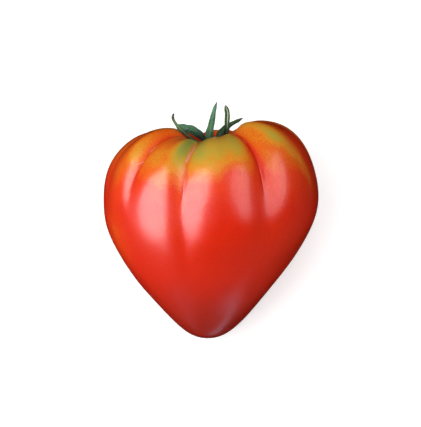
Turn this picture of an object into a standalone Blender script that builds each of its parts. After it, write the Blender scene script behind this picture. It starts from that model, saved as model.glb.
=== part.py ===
"""A ribbed oxheart tomato, picked with its green calyx, lying on its side.

Shapes are worked out in the fruit's own frame: Z runs from the blossom tip to the stem, X to the
right and -Y to the front. One empty, stem_axis, then leans that frame back onto the small flat
spot that the fruit rests on, whose centre is the world's origin.
"""

import math

import bmesh
import bpy
import numpy as np
from mathutils import Vector

MM = 0.001

# Fruit: (radius, height) in mm from the blossom tip, over the shoulder, to the floor of the stem hollow
FRUIT_OUTLINE = (
    (0.0, 0.0), (7.4, 1.8), (12.6, 5.6), (19.8, 13.0), (29.4, 23.6), (39.4, 37.6), (45.5, 51.0),
    (47.0, 61.5), (45.0, 74.0), (40.2, 82.8), (32.6, 89.1), (24.5, 91.5), (17.6, 91.0), (11.8, 87.4),
    (8.0, 84.2), (4.6, 82.4), (0.0, 82.0),
)
FRUIT_DEPTH_RATIO = 0.94        # front to back, against the width
TIP_DRIFT = 1.4                 # mm that the tip stands to the left of the stem
TIP_DRIFT_HEIGHTS = (22.0, 62.0)
# Ribs: azimuth of a groove in degrees, its depth and the height where it starts (mm), and how much the
# shoulder between it and the next groove rises (mm)
RIB_GROOVES = (
    (-47.0, 2.2, 52.0, -2.9), (-15.5, 3.8, 22.0, -2.0), (30.5, 4.0, 30.0, 4.2), (80.0, 0.7, 48.0, 4.0),
    (117.0, 2.4, 38.0, 0.8), (151.0, 2.6, 38.0, -1.0), (192.0, 2.8, 38.0, -1.0), (220.0, 2.2, 38.0, 0.4),
    (258.0, 1.6, 38.0, -0.4), (289.0, 0.7, 46.0, 1.0),
)
RIB_TWIST = (2.5, 36.0, 64.0)   # degrees the grooves turn to the right below, and over which heights
RIB_FULL_HEIGHT = 88.0          # the grooves are fully deep here
RISE_HEIGHTS = (55.0, 92.0)
RIB_ROUNDING = (0.09, 0.50)     # how round a groove's bottom is, at the shoulder and where it fades
HOLLOW_FADE = (-2.0, 38.0)      # radii between which the grooves run out towards the hollow's floor
HOLLOW_RISE_FADE = (6.0, 18.0)
FLAT_FLANK = (1.3, 36.0, 17.0)  # mm the right flank is flatter by, at which height, over what span
FRUIT_COLUMNS_PER_RIB = 10
FRUIT_RINGS = 44

LEAN = 30.0                     # degrees of the stem axis above the surface that the fruit lies on
FLAT_SPOT_PRESS = 0.5           # mm that the skin is flattened by

CALYX_CENTRE = (0.7, 0.0)
DISC_OUTLINE = ((0.0, 84.5), (2.6, 84.4), (4.2, 84.0), (4.7, 83.4), (4.2, 82.9), (0.0, 82.8))
STEM_OUTLINE = (
    (0.0, 88.6), (1.5, 88.4), (1.95, 87.6), (1.9, 86.4), (2.3, 85.4), (2.3, 84.9), (0.0, 84.9),
)
TURNED_STEPS = 24

SEPAL_THICKNESS = 0.8
SEPAL_ROWS = 14
# Sepals: centre line from the disc to the tip (mm, from the calyx centre), full widths along it, the
# directions of the width from the base to the tip, and how far the blade folds along its midrib
SEPALS = {
    "sepal_front": {
        "path": (
            (-0.5, -3.6, 85.2), (-1.2, -4.9, 87.4), (-1.4, -5.5, 90.0), (-0.7, -6.0, 93.8),
            (0.1, -6.6, 97.5), (0.9, -6.9, 101.1), (1.8, -7.0, 103.9),
        ),
        "widths": (2.8, 3.5, 3.4, 2.9, 2.4, 1.8, 1.0),
        "sides": ((1.0, 0.0, 0.0), (1.0, 0.0, 0.0)),
        "fold": 0.3,
    },
    "sepal_front_right": {
        "path": (
            (3.3, -1.1, 85.2), (4.5, -1.4, 87.3), (5.3, -1.6, 89.5), (6.2, -2.2, 92.2), (6.5, -2.5, 95.0),
            (6.7, -2.6, 98.0), (6.4, -2.5, 100.5), (5.6, -2.3, 102.4),
        ),
        "widths": (2.6, 2.8, 2.7, 2.6, 2.6, 2.9, 3.1, 1.9),
        "sides": ((0.3, 0.9, 0.0), (0.9, 0.3, 0.0), (1.0, -0.3, 0.1), (1.0, -0.3, 0.1)),
        "fold": 0.6,
    },
    "sepal_back_right": {
        "path": (
            (2.0, 2.9, 85.2), (2.8, 3.8, 88.4), (4.4, 5.0, 91.3), (6.4, 6.0, 93.0), (8.2, 6.8, 94.0),
            (10.5, 7.6, 95.1), (13.3, 8.4, 96.4),
        ),
        "widths": (2.8, 3.3, 3.6, 3.2, 2.2, 1.8, 1.0),
        "sides": ((-0.8, 0.6, 0.0), (-0.5, 0.2, 0.85)),
        "fold": 0.3,
    },
    "sepal_back_left": {
        "path": (
            (-2.2, 2.9, 85.2), (-4.6, 3.4, 87.8), (-6.9, 3.8, 89.8), (-10.0, 4.6, 91.6), (-12.7, 5.4, 92.6),
            (-15.4, 6.0, 94.1),
        ),
        "widths": (2.8, 3.9, 4.6, 4.1, 2.9, 1.0),
        "sides": ((0.75, 0.65, 0.0), (0.45, 0.1, 0.9)),
        "fold": 0.25,
    },
    "sepal_front_left": {
        "path": (
            (-3.6, -1.3, 85.2), (-6.8, -2.1, 87.0), (-10.3, -2.7, 89.3), (-12.7, -3.3, 91.5),
            (-14.9, -3.8, 93.7), (-16.4, -4.3, 95.7), (-16.9, -4.8, 97.4), (-16.5, -5.0, 99.0),
        ),
        "widths": (2.6, 2.6, 2.5, 2.4, 2.3, 2.1, 1.8, 1.6),
        "sides": ((0.35, -0.9, 0.0), (0.6, -0.4, 0.6), (0.7, -0.2, 0.7)),
        "fold": 0.5,
    },
}


def material(name, colour, roughness):
    made = bpy.data.materials.new(name)
    made.use_nodes = True
    shader = made.node_tree.nodes["Principled BSDF"]
    shader.inputs["Base Color"].default_value = (*colour, 1.0)
    shader.inputs["Roughness"].default_value = roughness
    shader.inputs["Metallic"].default_value = 0.0
    return made


def smooth_step(start, end, value):
    share = np.clip((value - start) / (end - start), 0.0, 1.0)
    return share * share * (3.0 - 2.0 * share)


def curve_through(points, shares, end_slopes=None):
    """Positions and slopes at shares (0 to 1) of the length of a cubic spline through points.

    Without end_slopes the curve runs out straight at both ends.
    """
    points = np.array(points, float)
    gaps = np.linalg.norm(np.diff(points, axis=0), axis=1)
    chords = np.diff(points, axis=0) / gaps[:, None]
    count = len(points)
    system = np.zeros((count, count))
    right = np.zeros_like(points)
    inner = np.arange(1, count - 1)
    system[inner, inner - 1] = gaps[1:]
    system[inner, inner] = 2.0 * (gaps[1:] + gaps[:-1])
    system[inner, inner + 1] = gaps[:-1]
    right[1:-1] = 3.0 * (gaps[1:, None] * chords[:-1] + gaps[:-1, None] * chords[1:])
    if end_slopes is None:
        system[0, :2] = system[-1, -1:-3:-1] = (2.0, 1.0)
        right[0], right[-1] = 3.0 * chords[0], 3.0 * chords[-1]
    else:
        system[0, 0] = system[-1, -1] = 1.0
        right[0], right[-1] = end_slopes
    slopes = np.linalg.solve(system, right)
    knots = np.concatenate([[0.0], np.cumsum(gaps)])
    along = np.clip(np.asarray(shares, float), 0.0, 1.0) * knots[-1]
    left = np.clip(np.searchsorted(knots, along, side="right") - 1, 0, count - 2)
    gap = gaps[left][:, None]
    t = (along - knots[left])[:, None] / gap
    start, end = points[left], points[left + 1]
    out, into = slopes[left] * gap, slopes[left + 1] * gap
    place = start * (1 + 2 * t) * (1 - t) ** 2 + end * t**2 * (3 - 2 * t)
    place += out * t * (1 - t) ** 2 - into * t**2 * (1 - t)
    slope = (end - start) * 6 * t * (1 - t) + out * (1 - t) * (1 - 3 * t) + into * t * (3 * t - 2)
    return place, slope / gap


def fruit_points(share, turn):
    """Fruit surface in mm: share 0 to 1 runs from the tip to the hollow's floor, turn 0 to 1 round it.

    The outline is turned round the stem axis, pressed in along its own normal at each groove, and
    raised on the shoulder by what each rib stands above the rest.
    """
    outline, slope = curve_through(FRUIT_OUTLINE, share, end_slopes=((1.0, 0.0), (-1.0, 0.0)))
    radius, height = outline.T
    slope /= np.linalg.norm(slope, axis=1)[:, None]
    out_radius, out_height = slope[:, 1], -slope[:, 0]
    in_hollow = (share > 0.5) & (slope[:, 1] <= 0.0)

    azimuths, depths, starts, rises = np.array(RIB_GROOVES + RIB_GROOVES[:1]).T
    azimuths[-1] += 360.0
    ribs = len(RIB_GROOVES)
    along_ribs = np.mod(turn, 1.0) * ribs
    rib = np.minimum(along_ribs.astype(int), ribs - 1)
    across = along_ribs - rib
    twist, twist_low, twist_high = RIB_TWIST
    degrees = np.interp(along_ribs, np.arange(ribs + 1), azimuths)
    azimuth = np.radians(degrees + twist * (1.0 - smooth_step(twist_low, twist_high, height)))
    to_crest = 2.0 * np.minimum(across, 1.0 - across)
    crest_weight = smooth_step(0.0, 1.0, to_crest)
    groove = np.where(across < 0.5, rib, rib + 1)
    depth = depths[groove] * (1 - crest_weight) + 0.5 * (depths[rib] + depths[rib + 1]) * crest_weight
    neighbour = np.where(across < 0.5, rises[(rib - 1) % ribs], rises[rib + 1])
    rise = rises[rib] * crest_weight + 0.5 * (rises[rib] + neighbour) * (1 - crest_weight)

    ribbed = np.where(in_hollow, 1.0, smooth_step(starts[groove], RIB_FULL_HEIGHT, height))
    ribbed *= smooth_step(*HOLLOW_FADE, radius)
    rounding = np.where(in_hollow, RIB_ROUNDING[0], np.interp(ribbed, (0.0, 1.0), RIB_ROUNDING[::-1]))
    rounded = (np.sqrt(to_crest**2 + rounding**2) - rounding) / (np.sqrt(1 + rounding**2) - rounding)
    pressed = depth * (1.0 - rounded) ** (4.0 - 2.0 * ribbed) * ribbed
    flat, flat_height, flat_span = FLAT_FLANK
    to_right = np.maximum(np.sin(azimuth), 0.0) ** 2
    pressed += flat * to_right * np.exp(-(((height - flat_height) / flat_span) ** 2))
    raised = rise * smooth_step(*RISE_HEIGHTS, height)
    raised *= np.where(in_hollow, smooth_step(*HOLLOW_RISE_FADE, radius), 1.0)

    radius = radius - out_radius * pressed
    height = height - out_height * pressed + raised
    drift = TIP_DRIFT * (1.0 - smooth_step(*TIP_DRIFT_HEIGHTS, height))
    return np.stack(
        [radius * np.sin(azimuth) - drift, -radius * np.cos(azimuth) * FRUIT_DEPTH_RATIO, height], axis=1
    )


def move_vertices(mesh, places):
    mesh.vertices.foreach_set("co", np.asarray(places, np.float32).ravel())
    mesh.update()


def new_part(name, mesh, colour, roughness, parts, parent):
    mesh.materials.append(material(name, colour, roughness))
    mesh.shade_smooth()
    part = bpy.data.objects.new(name, mesh)
    part.parent = parent
    parts.objects.link(part)
    return part


def fruit(parts, stem_axis):
    """A sphere whose rings and columns are moved onto the ribbed heart, then cut flat where it rests."""
    form = bmesh.new()
    bmesh.ops.create_uvsphere(
        form, u_segments=FRUIT_COLUMNS_PER_RIB * len(RIB_GROOVES), v_segments=FRUIT_RINGS, radius=1.0
    )
    mesh = bpy.data.meshes.new("fruit")
    form.to_mesh(mesh)
    form.free()
    ball = np.empty(len(mesh.vertices) * 3, np.float32)
    mesh.vertices.foreach_get("co", ball)
    ball = ball.reshape(-1, 3).astype(float)
    share = 1.0 - np.arccos(np.clip(ball[:, 2], -1.0, 1.0)) / math.pi
    turn = np.round(np.arctan2(ball[:, 1], ball[:, 0]) / (2 * math.pi), 6)
    places = fruit_points(share, turn) * MM
    move_vertices(mesh, places)

    down = Vector((0.0, math.cos(math.radians(LEAN)), -math.sin(math.radians(LEAN))))
    reach = (places @ np.array(down)).max()
    form = bmesh.new()
    form.from_mesh(mesh)
    cut = bmesh.ops.bisect_plane(
        form,
        geom=form.verts[:] + form.edges[:] + form.faces[:],
        plane_co=down * (reach - FLAT_SPOT_PRESS * MM),
        plane_no=down,
        clear_outer=True,
    )
    rim = [item for item in cut["geom_cut"] if isinstance(item, bmesh.types.BMEdge)]
    spot = bmesh.ops.contextual_create(form, geom=rim)["faces"][0]
    spot.smooth = False
    centre = spot.calc_center_bounds()
    bmesh.ops.recalc_face_normals(form, faces=form.faces)
    form.to_mesh(mesh)
    form.free()
    part = new_part("fruit", mesh, (0.70, 0.035, 0.012), 0.25, parts, stem_axis)
    mesh.set_sharp_from_angle(angle=math.radians(40.0))
    return part, centre


def turned(name, outline, colour, roughness, parts, stem_axis):
    """An outline from the top of the axis, down its outer side, to the bottom, turned with Screw."""
    form = bmesh.new()
    points = [form.verts.new((radius * MM, 0.0, height * MM)) for radius, height in outline]
    for start, end in zip(points, points[1:]):
        form.edges.new((start, end))
    mesh = bpy.data.meshes.new(name)
    form.to_mesh(mesh)
    form.free()
    part = new_part(name, mesh, colour, roughness, parts, stem_axis)
    part.location = (CALYX_CENTRE[0] * MM, CALYX_CENTRE[1] * MM, 0.0)
    screw = part.modifiers.new("turn", "SCREW")
    screw.steps = screw.render_steps = TURNED_STEPS
    screw.use_merge_vertices = True
    screw.merge_threshold = 0.00001
    return part


def sepal(name, shape, colour, parts, stem_axis):
    """A strip carried along the sepal's centre line, folded along its midrib and thickened."""
    shares = np.linspace(0.0, 1.0, SEPAL_ROWS)
    line, slope = curve_through(shape["path"], shares)
    line[:, :2] += CALYX_CENTRE
    slope /= np.linalg.norm(slope, axis=1)[:, None]
    widths = np.interp(shares, np.linspace(0.0, 1.0, len(shape["widths"])), shape["widths"])
    stations = np.linspace(0.0, 1.0, len(shape["sides"]))
    side = np.stack([np.interp(shares, stations, values) for values in zip(*shape["sides"])], axis=1)
    side -= slope * (side * slope).sum(axis=1)[:, None]
    side /= np.linalg.norm(side, axis=1)[:, None]
    face = np.cross(side, slope)
    across = np.array([-1.0, -0.5, 0.0, 0.5, 1.0])
    half = 0.5 * widths[:, None, None]
    grid = (
        line[:, None]
        + half * across[None, :, None] * side[:, None]
        + half * shape["fold"] * (across[None, :, None] ** 2 - 0.5) * face[:, None]
    )
    columns = len(across)
    form = bmesh.new()
    points = [form.verts.new(place) for place in grid.reshape(-1, 3) * MM]
    for row in range(SEPAL_ROWS - 1):
        for column in range(columns - 1):
            corner = row * columns + column
            form.faces.new([points[corner + step] for step in (0, 1, columns + 1, columns)])
    mesh = bpy.data.meshes.new(name)
    form.to_mesh(mesh)
    form.free()
    part = new_part(name, mesh, colour, 0.5, parts, stem_axis)
    wall = part.modifiers.new("blade", "SOLIDIFY")
    wall.thickness = SEPAL_THICKNESS * MM
    wall.offset = 0.0
    return part


def main():
    for old in list(bpy.data.objects):
        bpy.data.objects.remove(old)
    parts = bpy.data.collections.new("oxheart_tomato")
    bpy.context.scene.collection.children.link(parts)
    stem_axis = bpy.data.objects.new("stem_axis", None)
    stem_axis.empty_display_size = 0.03
    parts.objects.link(stem_axis)

    spot_centre = fruit(parts, stem_axis)[1]
    stem_axis.rotation_euler = (math.radians(LEAN - 90.0), 0.0, 0.0)
    stem_axis.location = -(stem_axis.rotation_euler.to_matrix() @ spot_centre)
    turned("calyx_disc", DISC_OUTLINE, (0.12, 0.16, 0.04), 0.6, parts, stem_axis)
    turned("stem_stub", STEM_OUTLINE, (0.16, 0.19, 0.07), 0.65, parts, stem_axis)
    for name, shape in SEPALS.items():
        sepal(name, shape, (0.06, 0.16, 0.05), parts, stem_axis)


main()
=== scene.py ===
# A ribbed oxheart tomato lying on its side: skin, calyx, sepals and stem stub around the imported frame.
# Lengths are millimetres in the fruit's own frame, where z runs from the blossom tip to the stem,
# x to the right and -y to the front; toWorld leans that frame back onto the surface in metres.
import math

import bpy
import numpy as np
from mathutils import Matrix, Vector


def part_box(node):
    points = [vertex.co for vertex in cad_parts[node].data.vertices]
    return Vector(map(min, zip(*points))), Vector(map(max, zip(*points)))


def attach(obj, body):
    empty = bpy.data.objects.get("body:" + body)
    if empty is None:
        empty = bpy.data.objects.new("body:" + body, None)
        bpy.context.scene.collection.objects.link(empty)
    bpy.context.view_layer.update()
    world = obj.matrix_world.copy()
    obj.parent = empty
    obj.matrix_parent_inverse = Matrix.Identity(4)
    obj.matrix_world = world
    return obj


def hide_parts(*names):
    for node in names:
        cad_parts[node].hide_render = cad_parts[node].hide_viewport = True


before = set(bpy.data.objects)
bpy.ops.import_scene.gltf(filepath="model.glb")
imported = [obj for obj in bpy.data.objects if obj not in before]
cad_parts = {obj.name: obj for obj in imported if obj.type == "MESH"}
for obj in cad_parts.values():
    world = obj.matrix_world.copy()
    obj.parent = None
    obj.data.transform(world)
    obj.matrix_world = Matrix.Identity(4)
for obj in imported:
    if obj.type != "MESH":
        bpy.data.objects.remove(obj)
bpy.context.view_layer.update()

mm = 0.001
print("frame loaded:", sorted(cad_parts))


# an ease from 0 at low to 1 at high, level at both ends
def smoothStep(low, high, value):
    part = np.clip((value - low) / (high - low), 0.0, 1.0)
    return part * part * (3.0 - 2.0 * part)


# a bell of height 1 over offset 0, falling to 0.37 at spread
def bell(offset, spread):
    return np.exp(-((offset / spread) ** 2))


# an angle in degrees, brought between -180 and 180
def wrapped(degrees):
    return (degrees + 180.0) % 360.0 - 180.0


# cubic spline by chord length: matching slopes and curvatures at the points, read at shares of its length
def curveThrough(points, shares, endSlopes=None):
    points = np.array(points, float)
    gaps = np.linalg.norm(np.diff(points, axis=0), axis=1)
    chords = np.diff(points, axis=0) / gaps[:, None]
    count = len(points)
    system, right = np.zeros((count, count)), np.zeros_like(points)
    inner = np.arange(1, count - 1)
    system[inner, inner - 1] = gaps[1:]
    system[inner, inner] = 2.0 * (gaps[1:] + gaps[:-1])
    system[inner, inner + 1] = gaps[:-1]
    right[1:-1] = 3.0 * (gaps[1:, None] * chords[:-1] + gaps[:-1, None] * chords[1:])
    if endSlopes is None:                       # runs out straight
        system[0, :2] = system[-1, -1:-3:-1] = (2.0, 1.0)
        right[0], right[-1] = 3.0 * chords[0], 3.0 * chords[-1]
    else:
        system[0, 0] = system[-1, -1] = 1.0
        right[0], right[-1] = endSlopes
    slopes = np.linalg.solve(system, right)
    knots = np.concatenate([[0.0], np.cumsum(gaps)])
    along = np.clip(np.asarray(shares, float), 0.0, 1.0) * knots[-1]
    left = np.clip(np.searchsorted(knots, along, side="right") - 1, 0, count - 2)
    gap = gaps[left][:, None]
    t = (along - knots[left])[:, None] / gap
    start, end = points[left], points[left + 1]
    out, into = slopes[left] * gap, slopes[left + 1] * gap
    place = start * (1 + 2 * t) * (1 - t) ** 2 + end * t**2 * (3 - 2 * t)
    place += out * t * (1 - t) ** 2 - into * t**2 * (1 - t)
    slope = (end - start) * 6 * t * (1 - t) + out * (1 - t) * (1 - 3 * t) + into * t * (3 * t - 2)
    return place, slope / gap


# values given at even stations along a piece, eased between them
def alongPiece(values, shares):
    stations = np.linspace(0.0, 1.0, len(values))
    points = np.stack([stations, np.asarray(values, float)], axis=1)
    where = np.clip(shares, 0.0, 1.0) * (len(values) - 1)
    left = np.minimum(where.astype(int), len(values) - 2)
    part = where - left
    part = part * part * (3.0 - 2.0 * part)
    return points[left, 1] * (1 - part) + points[left + 1, 1] * part


# rows of rings, each closed round, with a point at both ends: one closed skin with its faces outwards
def closedSkin(name, rings, fields=None):
    rows, columns = rings.shape[:2]
    points = np.concatenate([rings.reshape(-1, 3), rings[[0, -1]].mean(axis=1)])
    row, column = np.meshgrid(np.arange(rows - 1), np.arange(columns), indexing="ij")
    here, beside = row * columns + column, row * columns + (column + 1) % columns
    quads = np.stack([here, beside, beside + columns, here + columns], axis=-1).reshape(-1, 4)
    side = np.arange(columns)
    nextSide = (side + 1) % columns
    lowPole, highPole, last = rows * columns, rows * columns + 1, (rows - 1) * columns
    lowFan = np.stack([np.full(columns, lowPole), nextSide, side], axis=1)
    highFan = np.stack([np.full(columns, highPole), last + side, last + nextSide], axis=1)
    corners = points[quads]
    volume = (np.cross(corners[:, 0], corners[:, 1]) * corners[:, 2]).sum()
    volume += (np.cross(corners[:, 0], corners[:, 2]) * corners[:, 3]).sum()
    if volume < 0:
        quads, lowFan, highFan = quads[:, ::-1], lowFan[:, ::-1], highFan[:, ::-1]
    loops = np.concatenate([quads.ravel(), lowFan.ravel(), highFan.ravel()]).astype(np.int32)
    sizes = np.concatenate([np.full(len(quads), 4), np.full(2 * columns, 3)])
    mesh = bpy.data.meshes.new(name)
    mesh.vertices.add(len(points))
    mesh.vertices.foreach_set("co", points.astype(np.float32).ravel())
    mesh.loops.add(len(loops))
    mesh.loops.foreach_set("vertex_index", loops)
    mesh.polygons.add(len(sizes))
    mesh.polygons.foreach_set("loop_start", (np.cumsum(sizes) - sizes).astype(np.int32))
    mesh.update(calc_edges=True)
    mesh.validate()
    mesh.shade_smooth()
    for fieldName, values in (fields or {}).items():
        values = np.concatenate([values.ravel(), [values[0].mean(), values[-1].mean()]])
        store = mesh.attributes.new(fieldName, "FLOAT", "POINT")
        store.data.foreach_set("value", values.astype(np.float32))
    piece = bpy.data.objects.new(name, mesh)
    bpy.context.scene.collection.objects.link(piece)
    return piece


tomato = {
    # radius and height from the blossom tip, over the shoulder, to the floor of the stem hollow
    "outline": (
        (0.0, 0.0), (7.4, 1.8), (12.6, 5.6), (19.8, 13.0), (29.4, 23.6), (39.4, 37.6), (45.5, 51.0),
        (47.0, 61.5), (45.0, 74.0), (40.2, 82.8), (32.6, 89.1), (24.5, 91.5), (17.6, 91.0), (11.8, 87.4),
        (8.0, 84.2), (4.6, 82.4), (0.0, 82.0),
    ),
    "depthRatio": 0.94,
    "tipDrift": 1.4,
    "driftHeights": (22.0, 62.0),
    # azimuth of a groove (0 is the front, + to the right), its depth, the height where it starts,
    # and how far the shoulder between it and the next groove rises
    "grooves": (
        (-47.0, 2.2, 52.0, -2.9), (-15.5, 3.8, 22.0, -2.0), (30.5, 4.0, 30.0, 4.2), (80.0, 0.7, 48.0, 4.0),
        (117.0, 2.4, 38.0, 0.8), (151.0, 2.6, 38.0, -1.0), (192.0, 2.8, 38.0, -1.0), (220.0, 2.2, 38.0, 0.4),
        (258.0, 1.6, 38.0, -0.4), (289.0, 0.7, 46.0, 1.0),
    ),
    "grooveFullHeight": 88.0,
    "riseHeights": (55.0, 92.0),
    "grooveRounding": (0.09, 0.50),     # width of the rounding in its floor, on the shoulder and below
    "groovePowers": (2.0, 4.0),         # how steeply its walls fall, on the shoulder and below
    "hollowFade": (-2.0, 38.0),
    "hollowRiseFade": (6.0, 18.0),
    # the fold along a groove's floor, and the ribbing and groove depths over which it appears
    "crease": {"depth": 0.45, "width": 1.0, "ribbing": (0.60, 0.95), "grooveDepths": (0.5, 2.0)},
    "unevenness": 0.22,
    "unevenRadii": (4.0, 26.0),
    "twist": (2.5, 36.0, 64.0),         # degrees the grooves turn to the right below, and over which heights
    "flatFlank": (1.3, 36.0, 17.0),     # how far the right flank is flatter, at which height, over what span
    "tipScar": {"radius": 1.5, "depth": 0.35},
    "lean": 30.0,               # degrees of the stem axis above the surface
    "press": 0.5,               # how far the skin is flattened where it rests
    "columnsPerRib": 44,
    "columnCrowding": 0.11,     # how much closer the columns stand at the grooves
    "rings": 212,
}


# The outline is turned round the stem axis, pressed in along its own normal at each groove, and raised
# on the shoulder by what each rib stands above the rest. share runs from the tip to the hollow's floor,
# and turn runs once round, in equal parts from groove to groove.
def tomatoSurface(share, turn):
    outline, slope = curveThrough(tomato["outline"], share, endSlopes=((1.0, 0.0), (-1.0, 0.0)))
    radius, height = outline.T
    slope /= np.linalg.norm(slope, axis=1)[:, None]
    outRadius, outHeight = slope[:, 1], -slope[:, 0]
    inHollow = (share > 0.5) & (slope[:, 1] <= 0.0)
    azimuths, depths, starts, rises = np.array(tomato["grooves"] + tomato["grooves"][:1]).T
    azimuths[-1] += 360.0
    ribs = len(tomato["grooves"])
    alongRibs = np.mod(turn, 1.0) * ribs
    rib = np.minimum(alongRibs.astype(int), ribs - 1)
    across = alongRibs - rib
    twist, twistLow, twistHigh = tomato["twist"]
    degrees = np.interp(alongRibs, np.arange(ribs + 1), azimuths)
    degrees = degrees + twist * (1.0 - smoothStep(twistLow, twistHigh, height))
    azimuth = np.radians(degrees)
    toCrest = 2.0 * np.minimum(across, 1.0 - across)
    crestWeight = smoothStep(0.0, 1.0, toCrest)
    groove = np.where(across < 0.5, rib, rib + 1)
    depth = depths[groove] * (1 - crestWeight) + 0.5 * (depths[rib] + depths[rib + 1]) * crestWeight
    neighbour = np.where(across < 0.5, rises[(rib - 1) % ribs], rises[rib + 1])
    rise = rises[rib] * crestWeight + 0.5 * (rises[rib] + neighbour) * (1 - crestWeight)

    ribbed = np.where(inHollow, 1.0, smoothStep(starts[groove], tomato["grooveFullHeight"], height))
    ribbed = ribbed * smoothStep(*tomato["hollowFade"], radius)
    sharp, soft = tomato["grooveRounding"]
    rounding = np.where(inHollow, sharp, soft + (sharp - soft) * ribbed)
    rounded = (np.sqrt(toCrest**2 + rounding**2) - rounding) / (np.sqrt(1 + rounding**2) - rounding)
    steep, gentle = tomato["groovePowers"]
    pressed = depth * (1.0 - rounded) ** (gentle + (steep - gentle) * ribbed) * ribbed
    ribWidth = radius * np.radians(azimuths[rib + 1] - azimuths[rib])
    toGroove = 0.5 * toCrest * ribWidth            # arc length to the nearest groove
    crease = tomato["crease"]
    creased = bell(toGroove, crease["width"]) * smoothStep(*crease["ribbing"], ribbed)
    pressed = pressed + crease["depth"] * creased * smoothStep(*crease["grooveDepths"], depth)
    # two low waves, three and seven times round, that change along the fruit
    waves = np.sin(3 * azimuth + 0.09 * height) * np.cos(0.13 * height - 1.0)
    waves += 0.6 * np.sin(7 * azimuth - 0.05 * height + 2.0) * np.sin(0.21 * height)
    pressed = pressed + tomato["unevenness"] * waves * smoothStep(*tomato["unevenRadii"], radius)
    flat, flatHeight, flatSpan = tomato["flatFlank"]
    pressed = pressed + flat * np.maximum(np.sin(azimuth), 0.0) ** 2 * bell(height - flatHeight, flatSpan)
    scar = bell(radius, tomato["tipScar"]["radius"]) * (share < 0.3)
    pressed = pressed + tomato["tipScar"]["depth"] * scar
    raised = rise * smoothStep(*tomato["riseHeights"], height)
    raised = raised * np.where(inHollow, smoothStep(*tomato["hollowRiseFade"], radius), 1.0)

    radius = radius - outRadius * pressed
    height = height - outHeight * pressed + raised
    drift = tomato["tipDrift"] * (1.0 - smoothStep(*tomato["driftHeights"], height))
    sideways, forward = radius * np.sin(azimuth) - drift, -radius * np.cos(azimuth) * tomato["depthRatio"]
    place = np.stack([sideways, forward, height], axis=1)
    facts = {
        "degrees": wrapped(degrees), "height": outline[:, 1], "radius": outline[:, 0],
        "inHollow": inHollow, "toGroove": toGroove, "ribbed": ribbed, "scar": scar,
    }
    return place, facts


leanTurn = np.array(Matrix.Rotation(math.radians(tomato["lean"] - 90.0), 3, "X"))
tipPlace = np.zeros(3)          # where the fruit frame's origin lands in the world, filled in by buildTomato


# leans points of the fruit's frame back and sets them down where the CAD fruit lies, in metres
def toWorld(points):
    return np.asarray(points) @ leanTurn.T * mm + tipPlace


ripeness = {
    # how green the shoulder is, the heights over which that rises and falls, and where the shoulder ends
    "shoulder": 0.26,
    "rises": (58.0, 86.0),
    "falls": (91.5, 95.0),
    "top": 91.4,
    "grooveLoss": 0.2,
    "grooveWidth": 1.0,
    # greener and redder patches: azimuth, height, their spreads, and what they add
    "patches": (
        (6.0, 88.5, 18.0, 10.5, 0.33), (19.0, 88.5, 6.0, 6.0, 0.16), (-10.0, 89.0, 7.0, 9.0, 0.28),
        (1.0, 79.0, 7.0, 6.0, 0.10), (11.0, 76.5, 5.0, 6.0, -0.16), (-21.0, 92.0, 5.0, 5.0, 0.40),
        (-21.5, 86.0, 5.5, 8.0, 0.30), (-27.0, 72.0, 5.0, 7.0, 0.10), (-17.0, 70.0, 3.0, 12.0, 0.14),
        (-35.0, 84.0, 10.0, 9.0, 0.20), (-54.0, 84.0, 5.0, 6.0, 0.25), (-60.0, 72.0, 9.0, 10.0, 0.10),
        (-66.0, 48.0, 12.0, 14.0, 0.22), (50.0, 45.0, 30.0, 26.0, 0.05), (-30.0, 52.0, 20.0, 8.0, 0.05),
        (48.0, 88.0, 5.0, 5.0, 0.32), (54.0, 83.0, 5.0, 6.0, 0.22),
        (61.0, 77.0, 4.0, 6.0, 0.20), (66.0, 70.0, 3.5, 6.0, 0.14), (40.0, 90.0, 12.0, 7.0, 0.10),
        (36.0, 80.0, 6.0, 5.0, 0.10), (29.0, 89.0, 4.0, 7.0, -0.22), (31.0, 79.0, 4.0, 7.0, -0.20),
        (72.0, 84.0, 9.0, 9.0, -0.16), (-82.0, 86.0, 12.0, 9.0, 0.06),
        (100.0, 86.0, 12.0, 9.0, 0.24), (134.0, 87.0, 11.0, 8.0, 0.34), (171.0, 85.0, 13.0, 6.0, 0.36),
        (-154.0, 87.0, 9.0, 8.0, 0.26), (-121.0, 87.0, 13.0, 8.0, 0.34),
    ),
}
corkMarks = {
    # streaks beside the grooves: azimuth, lowest and highest point, slant in degrees, width
    "streaks": (
        (-16.6, 84.8, 91.3, 1.2, 0.52), (-47.0, 86.4, 89.4, 0.8, 0.40), (-45.6, 90.2, 91.4, 0.6, 0.40),
        (-49.5, 80.0, 82.0, 2.5, 0.30), (30.2, 90.4, 91.4, -1.0, 0.22),
        (117.5, 83.0, 88.0, 1.0, 0.50), (-140.0, 82.0, 88.5, -1.0, 0.50), (151.0, 84.0, 89.0, 1.0, 0.50),
    ),
    "easedEnds": 0.8,
    "ring": {"radius": 5.6, "width": 1.3},      # round the calyx disc
}
# what the skin's material reads: over which widths, ribbing, radii and heights each field fades
skinFields = {
    "grooveWidth": 1.0,
    "grooveRibbing": (0.25, 0.8),
    "hollowRadii": (5.0, 17.0),
    "tipHeights": (2.0, 34.0),
}


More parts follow.
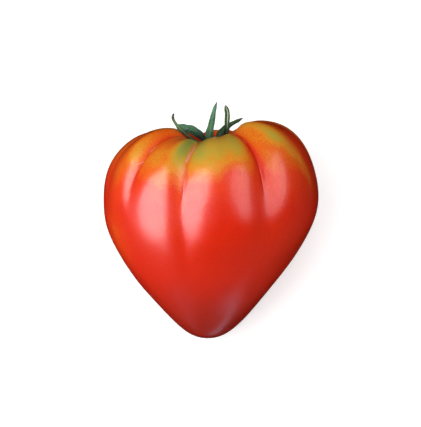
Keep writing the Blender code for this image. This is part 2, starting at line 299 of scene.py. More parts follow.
# 0 on ripe skin to 1 on green skin: a rise over the shoulder plus the patches' bells, less at the grooves;
# inside the hollow the heights carry on upwards, past the shoulder's top
def unripeness(facts):
    outer = np.where(facts["inHollow"], 2 * ripeness["top"] - facts["height"], facts["height"])
    rise, fall = smoothStep(*ripeness["rises"], outer), smoothStep(*ripeness["falls"], outer)
    green = ripeness["shoulder"] * rise * (1.0 - fall)
    for azimuth, height, widthSpread, heightSpread, amount in ripeness["patches"]:
        across = bell(wrapped(facts["degrees"] - azimuth), widthSpread)
        green = green + amount * across * bell(outer - height, heightSpread)
    atGroove = bell(facts["toGroove"], ripeness["grooveWidth"])
    return np.clip(green, 0.0, 1.0) * (1.0 - ripeness["grooveLoss"] * atGroove)


# 1 on a corky streak: a thin bell across it, ended by steps along it, and the same bell across the ring
def corkiness(facts):
    cork = np.zeros_like(facts["height"])
    ease = corkMarks["easedEnds"]
    for azimuth, low, high, slant, width in corkMarks["streaks"]:
        middle = azimuth + slant * (facts["height"] - low) / (high - low)
        offArc = np.radians(wrapped(facts["degrees"] - middle)) * facts["radius"]
        begun = smoothStep(low - ease, low + ease, facts["height"])
        ended = smoothStep(high - ease, high + ease, facts["height"])
        cork = np.maximum(cork, bell(offArc, width) * begun * (1.0 - ended) * ~facts["inHollow"])
    ring = corkMarks["ring"]
    return np.maximum(cork, facts["inHollow"] * bell(facts["radius"] - ring["radius"], ring["width"]))


# The surface's rings, leaned back, centred in the CAD fruit's box, pressed flat on the floor, with the
# fields that the material reads
def buildTomato():
    rows, ribs = tomato["rings"], len(tomato["grooves"])
    share = (np.arange(rows) + 0.5) / rows
    columns = tomato["columnsPerRib"] * ribs
    evenTurn = np.arange(columns) / columns
    turn = evenTurn - tomato["columnCrowding"] * np.sin(2 * math.pi * evenTurn * ribs) / ribs
    shares, turns = np.meshgrid(share, turn, indexing="ij")
    surface, facts = tomatoSurface(shares.ravel(), turns.ravel())
    low, high = (np.array(corner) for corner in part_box("fruit"))
    leaned = toWorld(surface)
    middle = 0.5 * (low + high) - 0.5 * (leaned.min(axis=0) + leaned.max(axis=0))
    tipPlace[:] = middle[0], middle[1], -leaned[:, 2].min() - tomato["press"] * mm
    world = toWorld(surface)
    world[:, 2] = np.maximum(world[:, 2], 0.0)                                 # the flat resting spot
    grooved = smoothStep(*skinFields["grooveRibbing"], facts["ribbed"])
    fields = {
        "unripe": unripeness(facts),
        "cork": corkiness(facts),
        # the groove field also places painted shade in the crease
        "groove": bell(facts["toGroove"], skinFields["grooveWidth"]) * grooved,
        # where painted shade darkens the stem hollow
        "hollow": facts["inHollow"] * (1.0 - smoothStep(*skinFields["hollowRadii"], facts["radius"])),
        "tipScar": facts["scar"],
        # where painted shade darkens the fruit towards the blossom tip
        "tipwardRedAndShade": 1.0 - smoothStep(*skinFields["tipHeights"], facts["height"]),
    }
    fields = {name: values.reshape(rows, columns) for name, values in fields.items()}
    return closedSkin("tomatoSkin", world.reshape(rows, columns, 3), fields)


calyxCentre = (0.7, 0.0)
sepalDetail = {
    "rows": 110,
    "around": 56,
    "endPower": 12,             # how suddenly both ends round off
    "thinEdge": 0.45,
    # height below the blade, the part of it above, its spread across, and the shares where it runs out
    "midrib": {"height": 0.16, "above": 0.55, "spread": 0.16, "ends": (0.7, 1.0)},
    "veins": {"height": 0.035, "across": 14.0, "slant": 9.0},
    # waves along the margin and out of the blade's face
    "marginWaves": 21.0,
    "marginPhase": 1.3,
    "faceWaves": 17.0,
}
# Each: centre line from the calyx centre, full widths, the width's direction from base to tip, half angle of
# the curl across the blade, twist in degrees, thickness, edge wave, the colours of the blade, its dark tone
# (for the dark mottle, the painted shade on one side and the painted shade along the margin) and its midrib
# (on the front-right and front-left blades a painted highlight along the rolled ridge), how much painted
# shade darkens one side of the midrib, how strong the dark foot is (partly the blade's own darker base,
# partly painted shade where it leaves the calyx), where along the blade the midrib's colour starts, and the
# dry share at the tip
sepals = {
    "sepal_front": {
        "path": (
            (-0.3, -2.6, 84.6), (-1.2, -4.4, 87.0), (-1.4, -5.4, 90.0), (-0.7, -6.0, 93.8), (0.1, -6.6, 97.5),
            (0.9, -6.9, 101.1), (1.9, -7.0, 104.2),
        ),
        "widths": (2.6, 3.5, 3.5, 2.9, 2.4, 1.8, 0.5),
        "sides": ((1.0, 0.0, 0.0), (1.0, 0.0, 0.0)),
        "curl": (0.5, 0.45, 0.6, 0.9), "twist": (0.0, 0.0, 6.0), "thickness": 0.62, "wave": 0.05,
        "blade": (0.060, 0.180, 0.078), "shade": (0.010, 0.048, 0.023), "rib": (0.105, 0.25, 0.11),
        "paintedShadeSide": 0.8, "foot": 0.2, "ribStart": -1.0, "dry": 0.10,
    },
    "sepal_front_right": {
        "path": (
            (2.7, -0.9, 84.7), (4.4, -1.3, 87.2), (5.3, -1.6, 89.5), (6.2, -2.2, 92.2), (6.5, -2.5, 95.0),
            (6.7, -2.6, 98.0), (6.4, -2.5, 100.5), (5.5, -2.3, 102.5),
        ),
        "widths": (2.6, 3.0, 2.9, 2.9, 2.9, 3.1, 3.4, 3.2, 2.0),
        "sides": ((0.3, 0.9, 0.0), (0.9, 0.3, 0.0), (1.0, -0.3, 0.1), (1.0, -0.3, 0.1)),
        "curl": (0.7, 1.2, 1.5, 1.6), "twist": (0.0, 5.0, 10.0), "thickness": 0.55, "wave": 0.04,
        # its pale midrib colour is a painted highlight along the rolled edge
        "blade": (0.040, 0.095, 0.018), "shade": (0.004, 0.014, 0.003), "rib": (0.78, 0.90, 0.58),
        "paintedShadeSide": 0.5, "foot": 0.85, "ribStart": 0.42, "dry": 0.05,
    },
    "sepal_back_right": {
        "path": (
            (1.6, 2.3, 84.7), (2.6, 3.6, 88.2), (4.4, 5.0, 91.3), (6.4, 6.0, 93.0), (8.2, 6.8, 94.0),
            (10.5, 7.6, 95.1), (13.4, 8.4, 96.5),
        ),
        "widths": (2.6, 3.4, 3.8, 3.4, 2.2, 1.9, 0.8),
        "sides": ((-0.8, 0.6, 0.0), (-0.5, 0.2, 0.85)),
        "curl": (0.4, 0.4, 0.6, 0.9), "twist": (0.0, 0.0, 10.0), "thickness": 0.55, "wave": 0.06,
        "blade": (0.026, 0.090, 0.016), "shade": (0.005, 0.022, 0.005), "rib": (0.045, 0.12, 0.03),
        "paintedShadeSide": -0.5, "foot": 0.8, "ribStart": -1.0, "dry": 0.05,
    },
    "sepal_back_left": {
        "path": (
            (-1.8, 2.0, 84.7), (-4.5, 2.8, 87.8), (-6.9, 3.5, 89.8), (-10.0, 4.6, 91.6), (-12.7, 5.4, 92.6),
            (-15.5, 6.0, 93.7),
        ),
        "widths": (2.6, 4.0, 4.8, 4.3, 3.1, 0.9),
        "sides": ((0.75, 0.65, 0.0), (0.45, 0.1, 0.9)),
        "curl": (0.5, 0.5, 0.5, 0.8), "twist": (0.0, 0.0, 8.0), "thickness": 0.6, "wave": 0.07,
        "blade": (0.046, 0.175, 0.072), "shade": (0.002, 0.010, 0.006), "rib": (0.08, 0.21, 0.10),
        "paintedShadeSide": -0.5, "foot": 0.95, "ribStart": -1.0, "dry": 0.05,
    },
    "sepal_front_left": {
        "path": (
            (-3.0, -1.1, 84.7), (-6.8, -2.0, 86.8), (-10.3, -2.7, 89.1), (-12.7, -3.3, 91.3),
            (-14.9, -3.8, 93.6), (-16.4, -4.3, 95.7), (-16.9, -4.8, 97.4), (-16.5, -5.0, 99.1),
        ),
        "widths": (2.6, 2.8, 2.7, 2.6, 2.5, 2.2, 1.8, 1.8),
        "sides": ((0.35, -0.9, 0.0), (0.6, -0.4, 0.6), (0.7, -0.2, 0.7)),
        "curl": (0.6, 0.9, 1.2, 1.6), "twist": (0.0, 10.0, 40.0), "thickness": 0.5, "wave": 0.09,
        # its pale midrib colour is a painted highlight along the ridge
        "blade": (0.15, 0.32, 0.13), "shade": (0.010, 0.030, 0.010), "rib": (0.62, 0.78, 0.48),
        "paintedShadeSide": -0.3, "foot": 0.35, "ribStart": -1.0, "dry": 0.15,
    },
}


# A flat oval profile carried along the centre line. Across, the blade bends round an arc of the curl's half
# angle; its thickness thins to the edge, with a raised midrib below, veins beside it and a waved margin.
def sepalRings(shape):
    rows, around = sepalDetail["rows"], sepalDetail["around"]
    even = (np.arange(rows) + 0.5) / rows
    share = 0.25 * (1.0 - np.cos(math.pi * even)) + 0.5 * even                  # closer rows at both ends
    line, slope = curveThrough(shape["path"], share)
    line[:, :2] += calyxCentre
    slope /= np.linalg.norm(slope, axis=1)[:, None]
    side = np.stack([alongPiece(values, share) for values in zip(*shape["sides"])], axis=1)
    side -= slope * (side * slope).sum(axis=1)[:, None]
    side /= np.linalg.norm(side, axis=1)[:, None]
    face = np.cross(side, slope)
    twist = np.radians(alongPiece(shape["twist"], share))[:, None]
    side, face = side * np.cos(twist) + face * np.sin(twist), face * np.cos(twist) - side * np.sin(twist)
    ends = np.sqrt(np.clip(1.0 - ((share - 0.5) * 2.0) ** sepalDetail["endPower"], 0.0, 1.0))[:, None]
    half = 0.5 * alongPiece(shape["widths"], share)[:, None] * ends
    curl = alongPiece(shape["curl"], share)[:, None]
    share = share[:, None]
    profile = 2.0 * math.pi * np.arange(around)[None, :] / around
    across, up = np.cos(profile), np.sin(profile)
    edge, sideSign = np.abs(across), np.sign(across)
    margin = np.sin(sepalDetail["marginWaves"] * share + sepalDetail["marginPhase"])
    width = half * (1.0 + shape["wave"] * edge**4 * margin)
    angle = curl * across
    offSide = width * np.sin(angle) / curl
    offFace = width * (1.0 - np.cos(angle)) / curl
    offFace = offFace + shape["wave"] * width * edge**3 * np.sin(sepalDetail["faceWaves"] * share) * sideSign
    thick = 0.5 * shape["thickness"] * (1.0 - sepalDetail["thinEdge"] * edge**2) * ends
    midrib, vein = sepalDetail["midrib"], sepalDetail["veins"]
    rib = midrib["height"] * bell(across, midrib["spread"]) * (1.0 - smoothStep(*midrib["ends"], share))
    veins = vein["height"] * np.cos(vein["across"] * across + vein["slant"] * share * sideSign) * (1 - edge)
    thick = thick * up - np.where(up < 0, 1.0, midrib["above"]) * rib * np.abs(up) + veins * up
    along = line[:, None] + offSide[..., None] * side[:, None] + offFace[..., None] * face[:, None]
    lean = np.cos(angle)[..., None] * face[:, None] - np.sin(angle)[..., None] * side[:, None]
    fields = {"along": np.repeat(share, around, axis=1), "across": np.repeat(across, rows, axis=0)}
    return along + thick[..., None] * lean, fields


# one blade set down in the world, named after its node: sepal_front_left gives sepalFrontLeft
def buildSepal(node, shape):
    rings, fields = sepalRings(shape)
    first, *rest = node.split("_")
    return closedSkin(first + "".join(word.capitalize() for word in rest), toWorld(rings), fields)


calyx = {
    # radius and height, from the middle of the underside, round the rim, to the middle of the top
    "outline": (
        (0.0, 82.75), (3.6, 82.85), (4.6, 83.2), (4.75, 83.6), (4.3, 84.05), (2.8, 84.5), (0.0, 84.6),
    ),
    "lobes": 5,
    "lobeSwell": 0.07,
    "lobeRadii": (0.5, 3.5),
    "ridges": 25,
    "ridgeHeight": 0.05,
    "ridgeRadii": (1.5, 4.0),
    "ridgeShares": (0.4, 0.7),
    "rows": 60,
    "around": 120,
}
stem = {
    # from the foot, up the side, over the torn rim, to the pith in the middle
    "outline": (
        (0.0, 84.3), (2.1, 84.4), (2.35, 85.0), (1.95, 86.2), (1.9, 87.4), (1.95, 88.2), (1.6, 88.55),
        (0.9, 88.2), (0.0, 87.9),
    ),
    "ridges": 7,
    "ridgeHeight": 0.09,
    "ridgeStart": (0.25, 0.35),
    "ridgeEnd": (0.72, 0.85),
    "torn": 0.22,
    "rimShare": 0.80,
    "rimSpread": 0.09,
    "rows": 90,
    "around": 96,
}


# an outline's shares, radii and heights down the rows, and the angles across the columns
def turnedOutline(piece):
    share = (np.arange(piece["rows"]) + 0.5) / piece["rows"]
    outline = curveThrough(piece["outline"], share)[0]
    angle = 2 * math.pi * np.arange(piece["around"])[None, :] / piece["around"]
    return share[:, None], angle, outline[:, :1], outline[:, 1:]


# radii and heights turned round the calyx centre and set down in the world
def turnedSkin(name, share, angle, radius, height):
    share, angle, radius, height = np.broadcast_arrays(share, angle, radius, height)
    sideways, forward = radius * np.cos(angle) + calyxCentre[0], radius * np.sin(angle) + calyxCentre[1]
    return closedSkin(name, toWorld(np.stack([sideways, forward, height], axis=-1)), {"along": share})


# a turned outline whose radius swells five times round, towards each sepal, with fine ridges on its top
def buildCalyx():
    share, angle, radius, height = turnedOutline(calyx)
    swell = calyx["lobeSwell"] * smoothStep(*calyx["lobeRadii"], radius)
    ridges = calyx["ridgeHeight"] * smoothStep(*calyx["ridgeRadii"], radius) * np.cos(calyx["ridges"] * angle)
    radius = radius * (1.0 + swell * np.cos(calyx["lobes"] * (angle + math.pi / 2.0)))
    height = height + ridges * smoothStep(*calyx["ridgeShares"], share)
    return turnedSkin("calyxDisc", share, angle, radius, height)


# a turned outline with long ridges down its side and an uneven torn rim at its top
def buildStem():
    share, angle, radius, height = turnedOutline(stem)
    onSide = smoothStep(*stem["ridgeStart"], share) * (1.0 - smoothStep(*stem["ridgeEnd"], share))
    ridges = stem["ridgeHeight"] * np.cos(stem["ridges"] * angle) * onSide
    torn = stem["torn"] * (np.sin(5 * angle + 1.0) + 0.6 * np.sin(13 * angle))
    torn = torn * bell(share - stem["rimShare"], stem["rimSpread"])
    return turnedSkin("stemStub", share, angle, radius + ridges, height + torn)


# a node at a place in the editor; a setting goes to its property, or else to its socket of that name
def addNode(tree, kind, place, **settings):
    node = tree.nodes.new(kind)
    node.location = place
    for name, value in settings.items():
        if hasattr(node, name):
            setattr(node, name, value)
        else:
            node.inputs[name].default_value = value
    return node


# gives a socket its value: another node's output is linked, and a colour gets full alpha
def feed(tree, socket, value):
    if isinstance(value, bpy.types.NodeSocket):
        tree.links.new(value, socket)
    elif socket.type == "RGBA":
        socket.default_value = (*value, 1.0)
    else:
        socket.default_value = value


# gives several of a node's sockets their values by name
def feedAll(tree, node, values):
    for name, value in values.items():
        feed(tree, node.inputs[name], value)


# output of a Math node on up to three values
def maths(tree, operation, values, place, clamp=False):
    node = addNode(tree, "ShaderNodeMath", place, operation=operation, use_clamp=clamp)
    for socket, value in zip(node.inputs, values):
        feed(tree, socket, value)
    return node.outputs[0]


# value x factor + offset
def scaled(tree, value, factor, offset, place, clamp=False):
    return maths(tree, "MULTIPLY_ADD", (value, factor, offset), place, clamp)


# noise spread about a middle value: noise x spread + middle - spread / 2
def spreadNoise(tree, noise, spread, middle, place, clamp=False):
    return scaled(tree, noise, spread, middle - 0.5 * spread, place, clamp)


# output of a colour mix: from first to second as the factor goes from 0 to 1
def mixColours(tree, factor, first, second, place, blend="MIX"):
    node = addNode(tree, "ShaderNodeMix", place, data_type="RGBA", blend_type=blend)
    for index, value in ((0, factor), (6, first), (7, second)):
        feed(tree, node.inputs[index], value)
    return node.outputs[2]


# a new shader group with its sockets: name, kind and starting value of each input, name and kind of each
# output
def startGroup(name, inputs, outputs):
    tree = bpy.data.node_groups.new(name, "ShaderNodeTree")
    for socketName, kind, value in inputs:
        tree.interface.new_socket(socketName, in_out="INPUT", socket_type=kind).default_value = value
    for socketName, kind in outputs:
        tree.interface.new_socket(socketName, in_out="OUTPUT", socket_type=kind)
    return tree, tree.nodes.new("NodeGroupInput"), tree.nodes.new("NodeGroupOutput")


# fine and coarse noise of living skin: the mottle is their mean, the grain the fine one, the patch the coarse
def makeGrainGroup():
    tree, given, result = startGroup(
        "livingGrain",
        (("Fine scale", "NodeSocketFloat", 900.0), ("Coarse scale", "NodeSocketFloat", 120.0)),
        (("Mottle", "NodeSocketFloat"), ("Grain", "NodeSocketFloat"), ("Patch", "NodeSocketFloat")),
    )
    coords = addNode(tree, "ShaderNodeTexCoord", (-600, 0)).outputs["Object"]
    fine = addNode(tree, "ShaderNodeTexNoise", (-350, 200), Detail=3.0, Roughness=0.6)
    coarse = addNode(tree, "ShaderNodeTexNoise", (-350, -100), Detail=4.0, Roughness=0.55)
    feedAll(tree, fine, {"Vector": coords, "Scale": given.outputs["Fine scale"]})
    feedAll(tree, coarse, {"Vector": coords, "Scale": given.outputs["Coarse scale"]})
    fine, coarse = fine.outputs["Fac"], coarse.outputs["Fac"]
    halfCoarse = maths(tree, "MULTIPLY", (coarse, 0.5), (-250, -300))
    mottle = scaled(tree, fine, 0.5, halfCoarse, (-100, 100))
    feedAll(tree, result, {"Mottle": mottle, "Grain": fine, "Patch": coarse})
    return tree


# a material with its node tree and its shader
def newMaterial(name):
    material = bpy.data.materials.new(name)
    material.use_nodes = True
    tree = material.node_tree
    return material, tree, tree.nodes["Principled BSDF"]


# the mottle, grain and patch of the shared noise group at a look's two scales
def useGrain(tree, place, look):
    node = tree.nodes.new("ShaderNodeGroup")
    node.node_tree = grainGroup
    node.location = place
    feedAll(tree, node, {"Fine scale": look["fineScale"], "Coarse scale": look["coarseScale"]})
    return node.outputs["Mottle"], node.outputs["Grain"], node.outputs["Patch"]


# the values of a field that closedSkin stored on the mesh
def readField(tree, name, place):
    return addNode(tree, "ShaderNodeAttribute", place, attribute_name=name).outputs["Fac"]


# a bump of the look's strength and reach under the shader, and the shader's other inputs
def dressShader(tree, shader, height, bump, values):
    strength, distance = bump
    node = addNode(tree, "ShaderNodeBump", (-50, -450), Strength=strength, Distance=distance)
    feed(tree, node.inputs["Height"], height)
    feedAll(tree, shader, {"Normal": node.outputs["Normal"], **values})


skinLook = {
    # colour from ripe to green, at shares of the unripe field
    "ripening": (
        (0.00, (0.73, 0.0210, 0.0040)), (0.16, (0.78, 0.042, 0.0045)), (0.32, (0.80, 0.128, 0.0070)),
        (0.48, (0.76, 0.270, 0.0180)), (0.62, (0.57, 0.355, 0.0360)), (0.78, (0.37, 0.345, 0.0540)),
        (1.00, (0.18, 0.300, 0.0660)),
    ),
    # how far the coarse and the fine noise shift ripening, and how that grows with the unripe field;
    # here and in corkGrain a pair is a factor and an offset
    "patchShift": 0.30,
    "speckShift": 0.40,
    "shiftGrowth": (1.6, 0.18),
    # the colours mixed over it and, where a field alone doesn't say it, how strongly
    # the groove's deeper red is partly the skin's own and partly painted shade in the crease
    "grooveRedAndShade": (0.62, 0.016, 0.008),
    "grooveRedAndShadeMix": 0.45,
    # painted shade deep in the stem hollow, darkest towards the calyx
    "hollow": (0.30, 0.050, 0.012),
    "hollowMix": 0.8,
    "cork": (0.78, 0.42, 0.29),
    "corkGrain": (1.6, -0.25),
    # the darker red towards the blossom tip is partly its own deeper red and partly painted shade
    "tip": (0.18, 0.018, 0.012),
    "tipRedAndShadeMix": 0.62,
    "scar": (0.16, 0.075, 0.030),
    "speckle": 0.24,
    "roughness": 0.22,
    "roughnessSpread": 0.08,
    "corkRoughness": 0.35,
    "wax": 0.5,
    "waxSpread": 2.6,
    "corkRelief": 1.2,
    "bump": (0.30, 0.0004),
    "fineScale": 1750.0,
    "coarseScale": 95.0,
    "shader": {
        "Coat IOR": 1.45, "IOR": 1.45, "Specular IOR Level": 0.25, "Subsurface Weight": 0.12,
        "Subsurface Radius": (1.0, 0.25, 0.1), "Subsurface Scale": 0.003,
    },
}


# Red turns green with the unripe field, shifted by both noises. The groove's deeper red (partly painted shade
# in the crease), the hollow's painted shade, the cork, the tip's darker red (partly painted shade) and the
# scar colours are mixed over it, each by its own field. The wax coat and the roughness vary with the fine
# noise, and cork is rougher and stands up.
def makeSkin():
    look = skinLook
    material, tree, shader = newMaterial("tomatoSkin")
    _, grain, patch = useGrain(tree, (-1400, 200), look)
    names = ("unripe", "groove", "cork", "hollow", "tipScar", "tipwardRedAndShade")
    fields = [readField(tree, name, (-1400, -200 * row)) for row, name in enumerate(names)]
    unripe, groove, cork, hollow, scar, tipwardRedAndShade = fields
    patchShift = spreadNoise(tree, patch, look["patchShift"], 0.0, (-1150, 200))
    speckShift = spreadNoise(tree, grain, look["speckShift"], 0.0, (-1150, 50))
    shift = maths(tree, "ADD", (patchShift, speckShift), (-1000, 120))
    growth = scaled(tree, unripe, *look["shiftGrowth"], (-1000, -40), clamp=True)
    ramp = addNode(tree, "ShaderNodeValToRGB", (-650, 100))
    feed(tree, ramp.inputs["Fac"], scaled(tree, shift, growth, unripe, (-850, 60), clamp=True))
    ramp.color_ramp.interpolation = "EASE"
    stops = ramp.color_ramp.elements
    for extra in look["ripening"][2:]:
        stops.new(extra[0])
    for stop, (position, stopColour) in zip(stops, look["ripening"]):
        stop.position, stop.color = position, (*stopColour, 1.0)
    # painted shade: the groove creases, the stem hollow and the blossom tip are darkened by mixing in darker
    # colours
    grooveRedAndShadeMix = maths(tree, "MULTIPLY", (groove, look["grooveRedAndShadeMix"]), (-700, -150))
    hollowMix = maths(tree, "MULTIPLY", (hollow, look["hollowMix"]), (-700, -300))
    tipRedAndShadeMix = maths(tree, "MULTIPLY", (tipwardRedAndShade, look["tipRedAndShadeMix"]), (-700, -900))
    corkGrain = scaled(tree, grain, *look["corkGrain"], (-900, -450))
    corkMask = maths(tree, "MULTIPLY", (corkGrain, cork), (-750, -450), clamp=True)
    shine = spreadNoise(tree, grain, 2.0 * look["speckle"], 1.0, (-350, 300))
    layers = (
        (grooveRedAndShadeMix, look["grooveRedAndShade"], "MIX"), (hollowMix, look["hollow"], "MIX"),
        (corkMask, look["cork"], "MIX"), (1.0, shine, "MULTIPLY"),
        (tipRedAndShadeMix, look["tip"], "MIX"), (scar, look["scar"], "MIX"),
    )
    colour = ramp.outputs["Color"]
    for step, (factor, over, blend) in enumerate(layers):
        colour = mixColours(tree, factor, colour, over, (110 * step - 450, 80), blend)
    evenRough = spreadNoise(tree, grain, look["roughnessSpread"], look["roughness"], (-350, -420))
    dressShader(tree, shader, scaled(tree, corkMask, look["corkRelief"], grain, (-200, -550)), look["bump"], {
        "Base Color": colour,
        "Roughness": scaled(tree, corkMask, look["corkRoughness"], evenRough, (-200, -300), clamp=True),
        "Coat Weight": spreadNoise(tree, grain, look["waxSpread"], look["wax"], (-350, -700), clamp=True),
        "Coat Roughness": look["roughness"], **look["shader"],
    })
    return material


# pairs are a factor and an offset: value x factor + offset
bladeLook = {
    "fineScale": 1300.0,
    "coarseScale": 420.0,
    "mottle": (4.4, -1.6),
    "sideShadeLean": -0.9,
    "rib": (-5.5, 1.0),
    "ribRise": 6.0,
    "ribMix": 0.75,
    "margin": (4.0, -2.9),
    "marginShadeMix": 0.8,
    "foot": (-3.2, 1.0),
    "footToneAndShadeMottle": 1.8,
    "footToneAndShadeColour": (0.008, 0.014, 0.005),
    "dryPatch": 0.10,
    "dryEnd": 1.05,
    "drySharpness": 14.0,
    "dryColour": (0.030, 0.022, 0.010),
    "roughness": (0.25, 0.36),
    "bump": (0.35, 0.0002),
    "specular": 0.25,
}


# A blade's green goes from shade to light by the mottle and, as painted shade, from side to side. Over it lie
# the midrib (on two blades a painted highlight), a margin darkened by painted shade, a dark foot that is
# partly painted shade, and a brown dry tip, each a ramp along or across the blade.
def makeSepalMaterial(name, shape):
    look = bladeLook
    material, tree, shader = newMaterial(name)
    mottle, grain, patch = useGrain(tree, (-1200, 200), look)
    along, across = readField(tree, "along", (-1200, 0)), readField(tree, "across", (-1200, -200))
    edge = maths(tree, "ABSOLUTE", (across,), (-1000, -200))
    gain, offset = look["mottle"]
    # painted shade: one side of the blade is darker than the other
    sideLight = scaled(tree, across, look["sideShadeLean"] * shape["paintedShadeSide"], offset, (-850, 330))
    light = scaled(tree, mottle, gain, sideLight, (-700, 250), clamp=True)
    rib = scaled(tree, edge, *look["rib"], (-850, -150), clamp=True)
    rise = look["ribRise"]
    ribStarted = scaled(tree, along, rise, -rise * shape["ribStart"], (-850, -50), clamp=True)
    rib = maths(tree, "MULTIPLY", (rib, ribStarted), (-700, -120))
    # painted shade along the blade's margin
    margin = scaled(tree, edge, *look["margin"], (-850, -300), clamp=True)
    # a dark foot: partly the blade's own darker base, partly painted shade where it leaves the calyx
    foot = scaled(tree, along, *look["foot"], (-850, -600))
    foot = scaled(tree, mottle, look["footToneAndShadeMottle"], foot, (-700, -600), clamp=True)
    dryStart = look["drySharpness"] * (shape["dry"] - look["dryEnd"])
    dry = scaled(tree, patch, look["dryPatch"], along, (-850, -750))
    dry = scaled(tree, dry, look["drySharpness"], dryStart, (-700, -750), clamp=True)
    # the midrib colour is a painted highlight on the front-right and front-left blades
    layers = (
        (maths(tree, "MULTIPLY", (rib, look["ribMix"]), (-550, -100)), shape["rib"]),
        (maths(tree, "MULTIPLY", (margin, look["marginShadeMix"]), (-550, -250)), shape["shade"]),
        (maths(tree, "MULTIPLY", (foot, shape["foot"]), (-550, -600)), look["footToneAndShadeColour"]),
        (dry, look["dryColour"]),
    )
    colour = mixColours(tree, light, shape["shade"], shape["blade"], (-550, 200))
    for step, (factor, over) in enumerate(layers):
        colour = mixColours(tree, factor, colour, over, (110 * step - 400, 150))
    rough = scaled(tree, grain, *look["roughness"], (-350, -200), clamp=True)
    values = {"Base Color": colour, "Roughness": rough, "Specular IOR Level": look["specular"]}
    dressShader(tree, shader, mottle, look["bump"], values)
    return material


woodyLook = {
    "fineScale": 3000.0,
    "coarseScale": 700.0,
    "topSharpness": 12.0,
    "roughness": (0.3, 0.45),
    "bump": (0.5, 0.0002),
    # each piece's darkest and lightest green, the colour of its top, and the share where the top starts
    "calyxDisc": {
        "low": (0.035, 0.055, 0.014), "high": (0.15, 0.20, 0.05),
        "top": (0.12, 0.14, 0.045), "topStart": 0.95,
    },
    "stemStub": {
        "low": (0.045, 0.070, 0.018), "high": (0.19, 0.23, 0.08),
        "top": (0.30, 0.23, 0.12), "topStart": 0.78,
    },
}


# green tissue by the mottle, with a ramp to the colour of the top where the outline turns inwards
def makeWoody(name):
    look, own = woodyLook, woodyLook[name]
    material, tree, shader = newMaterial(name)
    mottle, grain, _ = useGrain(tree, (-900, 200), look)
    along = readField(tree, "along", (-900, -100))
    sharpness = look["topSharpness"]
    top = scaled(tree, along, sharpness, -sharpness * own["topStart"], (-650, -100), clamp=True)
    colour = mixColours(tree, mottle, own["low"], own["high"], (-550, 200))
    colour = mixColours(tree, top, colour, own["top"], (-350, 150))
    rough = scaled(tree, grain, *look["roughness"], (-350, -50), clamp=True)
    dressShader(tree, shader, mottle, look["bump"], {"Base Color": colour, "Roughness": rough})
    return material


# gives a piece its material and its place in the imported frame
def addToFrame(piece, material, node):
    piece.data.materials.append(material)
    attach(piece, "root")
    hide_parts(node)


studio = {
    "floor": {"half": 3.0, "colour": (0.74, 0.74, 0.74), "roughness": 0.9, "glow": 0.55},
    "air": 0.06,
    # azimuth and elevation about the line of sight and roll in degrees, distance, size, watts and colour
    "reflections": {
        "keyPanel": {"at": (-51.0, 1.0), "roll": -18.0, "distance": 0.8, "size": (0.92, 1.66), "watts": 39.0,
                     "colour": (0.84, 0.96, 1.0), "shape": "ELLIPSE"},
        "fillPanel": {"at": (43.5, 17.0), "roll": 4.0, "distance": 0.8, "size": (0.60, 1.04), "watts": 6.4,
                      "colour": (0.84, 0.96, 1.0), "shape": "ELLIPSE"},
        "lowPanel": {"at": (146.0, -63.0), "roll": 0.0, "distance": 0.8, "size": (0.46, 0.18), "watts": 0.27,
                     "colour": (0.60, 0.75, 1.0), "shape": "ELLIPSE"},
        "lowLeftPanel": {"at": (-126.0, -66.0), "roll": 0.0, "distance": 0.8, "size": (0.2, 0.24),
                         "watts": 0.04, "colour": (0.60, 0.75, 1.0), "shape": "ELLIPSE"},
    },
    "lighting": {
        "leftSoft": {"at": (-80.0, 0.0), "watts": 3.4},
        "keySoft": {"at": (-50.0, 20.0), "watts": 1.7},
        "frontSoft": {"at": (-20.0, -6.0), "watts": 7.0},
        "topSoft": {"at": (2.0, 42.0), "watts": 2.8},
        "rightSoft": {"at": (52.0, 16.0), "watts": 2.2},
    },
    "softPanel": {"roll": 0.0, "distance": 1.0, "size": (0.7, 0.7), "colour": (1.0, 1.0, 1.0),
                  "shape": "SQUARE"},
}
cameraSetup = {"aboveEquator": 6.0, "distance": 0.70, "lens": 135.0, "aim": (-0.2, 0.0, 55.1)}
# the line of sight's rise above the surface, the way to the camera, and the view's right and up
sightRise = math.radians(90.0 - tomato["lean"] + cameraSetup["aboveEquator"])
sightOut = Vector((0.0, -math.cos(sightRise), math.sin(sightRise)))
sightRight = Vector((1.0, 0.0, 0.0))
sightUp = Vector((0.0, math.sin(sightRise), math.cos(sightRise)))


# a wide pale square under the fruit, whose glow whitens the view and not the fruit
def buildFloor():
    look, half = studio["floor"], studio["floor"]["half"]
    mesh = bpy.data.meshes.new("floor")
    corners = [(-half, -half, 0), (half, -half, 0), (half, half, 0), (-half, half, 0)]
    mesh.from_pydata(corners, [], [(0, 1, 2, 3)])
    floor = bpy.data.objects.new("floor", mesh)
    bpy.context.scene.collection.objects.link(floor)
    material, tree, shader = newMaterial("paleFloor")
    path = addNode(tree, "ShaderNodeLightPath", (-500, -200))
    glow = maths(tree, "MULTIPLY", (path.outputs["Is Camera Ray"], look["glow"]), (-250, -200))
    feedAll(tree, shader, {
        "Base Color": look["colour"], "Roughness": look["roughness"], "Specular IOR Level": 0.0,
        "Emission Color": (1.0, 1.0, 1.0), "Emission Strength": glow,
    })
    mesh.materials.append(material)
    floor.visible_glossy = False
    floor.visible_shadow = False


# a camera on the line of sight through the aim, turned down by the sight's rise
def buildCamera():
    data = bpy.data.cameras.new("camera")
    data.lens = cameraSetup["lens"]
    camera = bpy.data.objects.new("camera", data)
    camera.location = Vector(toWorld(cameraSetup["aim"])) + sightOut * cameraSetup["distance"]
    camera.rotation_euler = (math.radians(90.0) - sightRise, 0.0, 0.0)
    bpy.context.scene.collection.objects.link(camera)
    bpy.context.scene.camera = camera


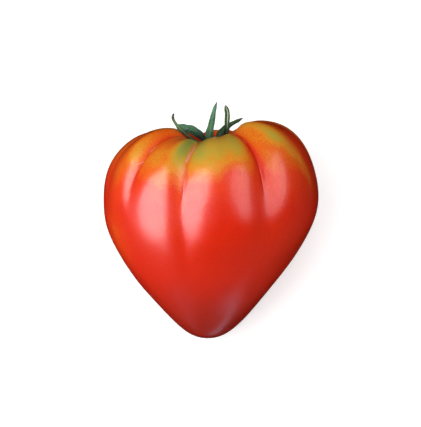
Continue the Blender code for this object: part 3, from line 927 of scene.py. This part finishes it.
# one panel facing the fruit, either seen only as a reflection or only lighting the surfaces
def buildPanel(name, panel, reflected):
    middle = Vector(toWorld(cameraSetup["aim"]))
    turn, rise = (math.radians(angle) for angle in panel["at"])
    level = sightOut * math.cos(turn) + sightRight * math.sin(turn)
    out = level * math.cos(rise) + sightUp * math.sin(rise)
    light = bpy.data.lights.new(name, "AREA")
    light.shape = panel["shape"]
    light.size, light.size_y = panel["size"]
    light.energy = panel["watts"]
    light.color = panel["colour"]
    lamp = bpy.data.objects.new(name, light)
    wide = sightUp.cross(out).normalized()
    facing = Matrix((wide, out.cross(wide), out)).transposed().to_4x4()
    roll = Matrix.Rotation(math.radians(panel["roll"]), 4, "Z")
    lamp.matrix_world = Matrix.Translation(middle + out * panel["distance"]) @ facing @ roll
    lamp.visible_camera = lamp.visible_transmission = lamp.visible_volume_scatter = False
    lamp.visible_glossy, lamp.visible_diffuse = reflected, not reflected
    bpy.context.scene.collection.objects.link(lamp)


# the panels, and a weak even light from all round that isn't reflected
def buildLights():
    for name, panel in studio["reflections"].items():
        buildPanel(name, panel, True)
    for name, panel in studio["lighting"].items():
        buildPanel(name, studio["softPanel"] | panel, False)
    world = bpy.data.worlds.new("air")
    world.use_nodes = True
    background = world.node_tree.nodes["Background"]
    background.inputs["Color"].default_value = (1.0, 1.0, 1.0, 1.0)
    background.inputs["Strength"].default_value = studio["air"]
    world.cycles_visibility.glossy = False
    bpy.context.scene.world = world
    bpy.context.scene.view_settings.view_transform = "Standard"


grainGroup = makeGrainGroup()
addToFrame(buildTomato(), makeSkin(), "fruit")
print("tomato built, tip at", [round(float(value), 4) for value in tipPlace])
for sepalName, sepalShape in sepals.items():
    blade = buildSepal(sepalName, sepalShape)
    addToFrame(blade, makeSepalMaterial(blade.name, sepalShape), sepalName)
print("sepals built:", len(sepals))
addToFrame(buildCalyx(), makeWoody("calyxDisc"), "calyx_disc")
addToFrame(buildStem(), makeWoody("stemStub"), "stem_stub")
print("calyx disc and stem stub built")
buildFloor()
buildLights()
buildCamera()
print("floor, lights and camera set")
